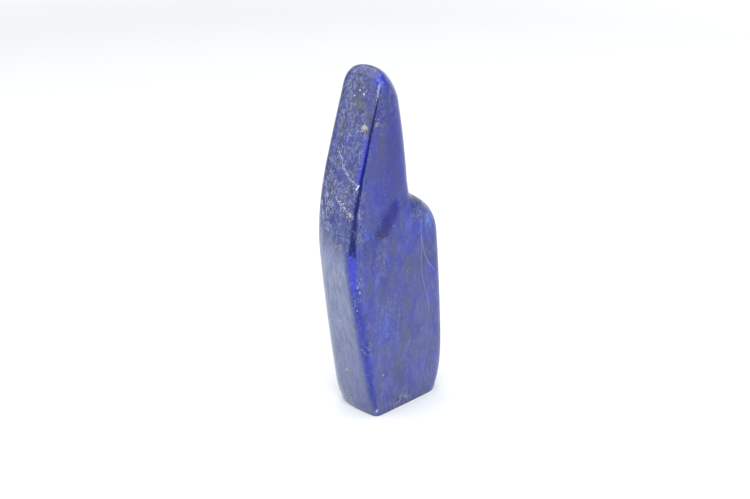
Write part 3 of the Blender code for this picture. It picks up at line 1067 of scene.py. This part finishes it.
# pyrite: clusters at pixels of the photo, each with its reach in mm and its share of grains
pyriteClusters = [
    ((364.5, 128.0), 1.6, 2.6), ((377.0, 124.5), 1.1, 2.2), ((385.5, 124.5), 0.6, 1.2),
    ((350, 133.5), 0.9, 1.2), ((347, 174), 0.8, 1.6), ((339, 151.5), 0.8, 1.4), ((343, 205), 0.9, 1.8),
    ((351, 215.5), 0.9, 2.4), ((360, 217.5), 1.4, 1.8), ((362, 196.5), 1.1, 1.2), ((361, 239.5), 1.0, 1.6),
    ((354, 234.5), 0.9, 1.0), ((337, 246), 1.5, 1.2), ((353, 105), 1.3, 1.2), ((362.5, 105), 0.8, 1.2),
    ((340, 308), 1.5, 0.8), ((338, 325), 1.0, 0.6), ((347, 369), 0.9, 1.0), ((411, 305), 0.8, 0.7),
    ((406, 348), 0.8, 0.7), ((407, 271), 1.0, 0.8), ((387, 333), 1.2, 0.6), ((399, 315), 0.6, 0.8),
    ((343, 190), 2.4, 0.3),
]

# the same on the back, by place across and height in mm
backPyrite = [
    ((-14, 111), 1.6, 1.4), ((-17, 104), 1.2, 1.8), ((-20, 90), 1.4, 1.0), ((2, 74), 2.0, 1.0),
    ((6, 66), 1.4, 1.6), ((-6, 52), 1.2, 1.2), ((16, 40), 1.8, 1.0), ((-10, 24), 1.6, 0.8),
]

# the grains, with density to a square metre and sizes in metres; lengths and turns are the least and the most
pyrite = {"Density": 1.2e6, "Smallest": 0.00008, "Largest": 0.00020, "Flatness": 0.3, "Seed": 11}
pyriteShape = {
    "everywhere": 0.003,
    "sunk": -0.6,
    "length": (1.2, 3.2),
    "turn": ((-0.12, -0.12, 0.0), (0.12, 0.12, 6.28)),
}


def addPyriteShare(mesh, onStone, behindStone):
    points = np.empty(len(mesh.vertices) * 3)
    mesh.vertices.foreach_get("co", points)
    points = points.reshape(-1, 3) / mm
    share = np.full(len(points), pyriteShape["everywhere"])
    clusters = [(onStone(*pixel)[0], *rest) for pixel, *rest in pyriteClusters]
    clusters += [(behindStone(*spot)[0], *rest) for spot, *rest in backPyrite]
    for middle, reach, grains in clusters:
        gap = ((points - np.array(middle)) ** 2).sum(axis=1)
        share += grains * np.exp(-gap / reach ** 2)
    addAttribute(mesh, "pyriteShare", share)


def randomValue(tree, inputs, kind="FLOAT"):
    outputs = put(tree, "FunctionNodeRandomValue", inputs, data_type=kind).outputs
    return outputs[1 if kind == "FLOAT" else 0]


def makePyriteTree():
    tree, given, result = newGeometryTree("pyriteGrains", {
        "Density": "Float", "Smallest": "Float", "Largest": "Float", "Flatness": "Float", "Seed": "Int",
        "Material": "Material"})
    share = put(tree, "GeometryNodeInputNamedAttribute", {"Name": "pyriteShare"}, data_type="FLOAT")
    density = times(tree, share.outputs[0], given["Density"])
    spread = {"Mesh": given["Geometry"], "Density": density, "Seed": given["Seed"]}
    spread = put(tree, "GeometryNodeDistributePointsOnFaces", spread, distribute_method="RANDOM").outputs
    size = randomValue(tree, {2: given["Smallest"], 3: given["Largest"], "Seed": 1})
    thick = times(tree, size, given["Flatness"])
    sunk = scaled(tree, spread["Normal"], times(tree, thick, pyriteShape["sunk"]))
    seats = put(tree, "GeometryNodeSetPosition", {"Geometry": spread["Points"], "Offset": sunk}).outputs[0]
    grain = put(tree, "GeometryNodeMeshIcoSphere", {"Radius": 1.0, "Subdivisions": 1}).outputs["Mesh"]
    shortest, longest = pyriteShape["length"]
    length = times(tree, size, randomValue(tree, {2: shortest, 3: longest, "Seed": 2}))
    grains = {"Points": seats, "Instance": grain, "Rotation": spread["Rotation"],
              "Scale": combined(tree, size, length, thick)}
    grains = put(tree, "GeometryNodeInstanceOnPoints", grains).outputs[0]
    least, most = pyriteShape["turn"]
    turn = randomValue(tree, {0: least, 1: most, "Seed": 3}, "FLOAT_VECTOR")
    turned = {"Instances": grains, "Rotation": turn, "Local Space": True}
    turned = put(tree, "GeometryNodeRotateInstances", turned).outputs[0]
    real = put(tree, "GeometryNodeRealizeInstances", {"Geometry": turned}).outputs[0]
    real = put(tree, "GeometryNodeSetMaterial", {"Geometry": real, "Material": given["Material"]}).outputs[0]
    feed(tree, result, {0: real})
    return tree


def makePyriteGrains(stone):
    grains = addObject("pyriteGrains", stone.data.copy())
    applyTree(grains, makePyriteTree(), {**pyrite, "Material": makePyriteMaterial()})
    grains.data.name = "pyriteGrains"
    return grains


# white tent around the stone, open and dark behind the camera, with a soft key light above the camera
studio = {
    "floorSize": 6.0,
    "floorColor": (0.745, 0.750, 0.760),
    "floorGlow": (0.62, 1.05, 0.50),
    "floorRoughness": 0.9,
    "floorShine": 0.1,
    "lightColor": (0.965, 0.988, 1.0),
    "tentLight": 0.7,
    "backdropLight": 1.0,
    "openingLight": 0.03,
    "opening": (-0.26, -0.96, 0.02),
    "openingEdge": (0.25, 0.62),
    "softboxes": {
        "overhead": {"place": (-0.12, 0.02, 0.95), "aim": (0.0, 0.02, 0.0), "size": (1.3, 1.2),
            "power": 11.0},
        "left": {"place": (-0.85, 0.15, 0.36), "aim": (0.0, 0.05, 0.15), "size": (1.1, 0.7), "power": 3.0},
        "right": {"place": (0.85, 0.0, 0.35), "aim": (0.0, 0.0, 0.05), "size": (0.9, 0.6), "power": 1.4},
        "key": {"place": (-0.45, -0.79, 0.5), "aim": (0.0, 0.0, 0.1), "size": (0.8, 0.38), "power": 8.6},
    },
}


# a pale floor that glows further out, so that it meets the backdrop in white
def makeFloor():
    half = studio["floorSize"] / 2.0
    corners = [(-half, -half, 0.0), (half, -half, 0.0), (half, half, 0.0), (-half, half, 0.0)]
    mesh = bpy.data.meshes.new("studioFloor")
    mesh.from_pydata(corners, [], [(0, 1, 2, 3)])
    material, tree, shader = newMaterial("paleFloor")
    away = vector(tree, "LENGTH", tree.nodes.new("ShaderNodeTexCoord").outputs["Object"])
    start, end, glow = studio["floorGlow"]
    feed(tree, shader, {
        "Base Color": studio["floorColor"],
        "Roughness": studio["floorRoughness"],
        "Specular IOR Level": studio["floorShine"],
        "Emission Color": greyTone(tree, fade(tree, away, start, end, 0.0, glow)),
        "Emission Strength": 1.0})
    mesh.materials.append(material)
    floor = addObject("studioFloor", mesh)


def addSoftboxes():
    for name, box in studio["softboxes"].items():
        light = bpy.data.lights.new(name, "AREA")
        light.shape = "RECTANGLE"
        light.size, light.size_y = box["size"]
        light.energy = box["power"]
        light.color = studio["lightColor"]
        lamp = addObject(name, light)
        lamp.visible_camera = False
        lamp.location = box["place"]
        lamp.rotation_euler = (Vector(box["aim"]) - lamp.location).to_track_quat("-Z", "Y").to_euler()


def makeTent():
    world = bpy.data.worlds.new("studioTent")
    world.use_nodes = True
    tree = world.node_tree
    around = vector(tree, "NORMALIZE", tree.nodes.new("ShaderNodeTexCoord").outputs["Generated"])
    toOpening = vector(tree, "DOT_PRODUCT", around, Vector(studio["opening"]).normalized())
    strength = fade(tree, toOpening, *studio["openingEdge"], studio["tentLight"], studio["openingLight"])
    seen = tree.nodes.new("ShaderNodeLightPath").outputs["Is Camera Ray"]
    strength = ramp(tree, seen, 0.0, 1.0, strength, studio["backdropLight"])
    feed(tree, tree.nodes["Background"], {"Color": studio["lightColor"], "Strength": strength})
    bpy.context.scene.world = world
    bpy.context.scene.view_settings.view_transform = "Standard"


makeCamera()
makeFloor()
addSoftboxes()
makeTent()
print("studio ready")

stone = makeStoneMesh()
onStone, behindStone = stoneUnder(stone)
print("stone meshed", len(stone.data.polygons), "faces")

groups = {"vein": makeVeinGroup(), "patch": makePatchGroup()}
groups["body"] = makeBodyGroup(makeFleckGroup(), makeGrainGroup())
addPyriteShare(stone.data, onStone, behindStone)
pyriteGrains = makePyriteGrains(stone)
print("pyrite set in,", len(pyriteGrains.data.polygons) // 20, "grains")

surfaces = {"Polished": makePolishedLapis(groups, onStone, behindStone), "Sawn": makeSawnLapis(groups)}
applyTree(stone, makePolishTree(), {**polish, **surfaces})
print("stone polished", len(stone.data.polygons), "faces")

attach(stone, "root")
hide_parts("stone")
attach(pyriteGrains, "root")
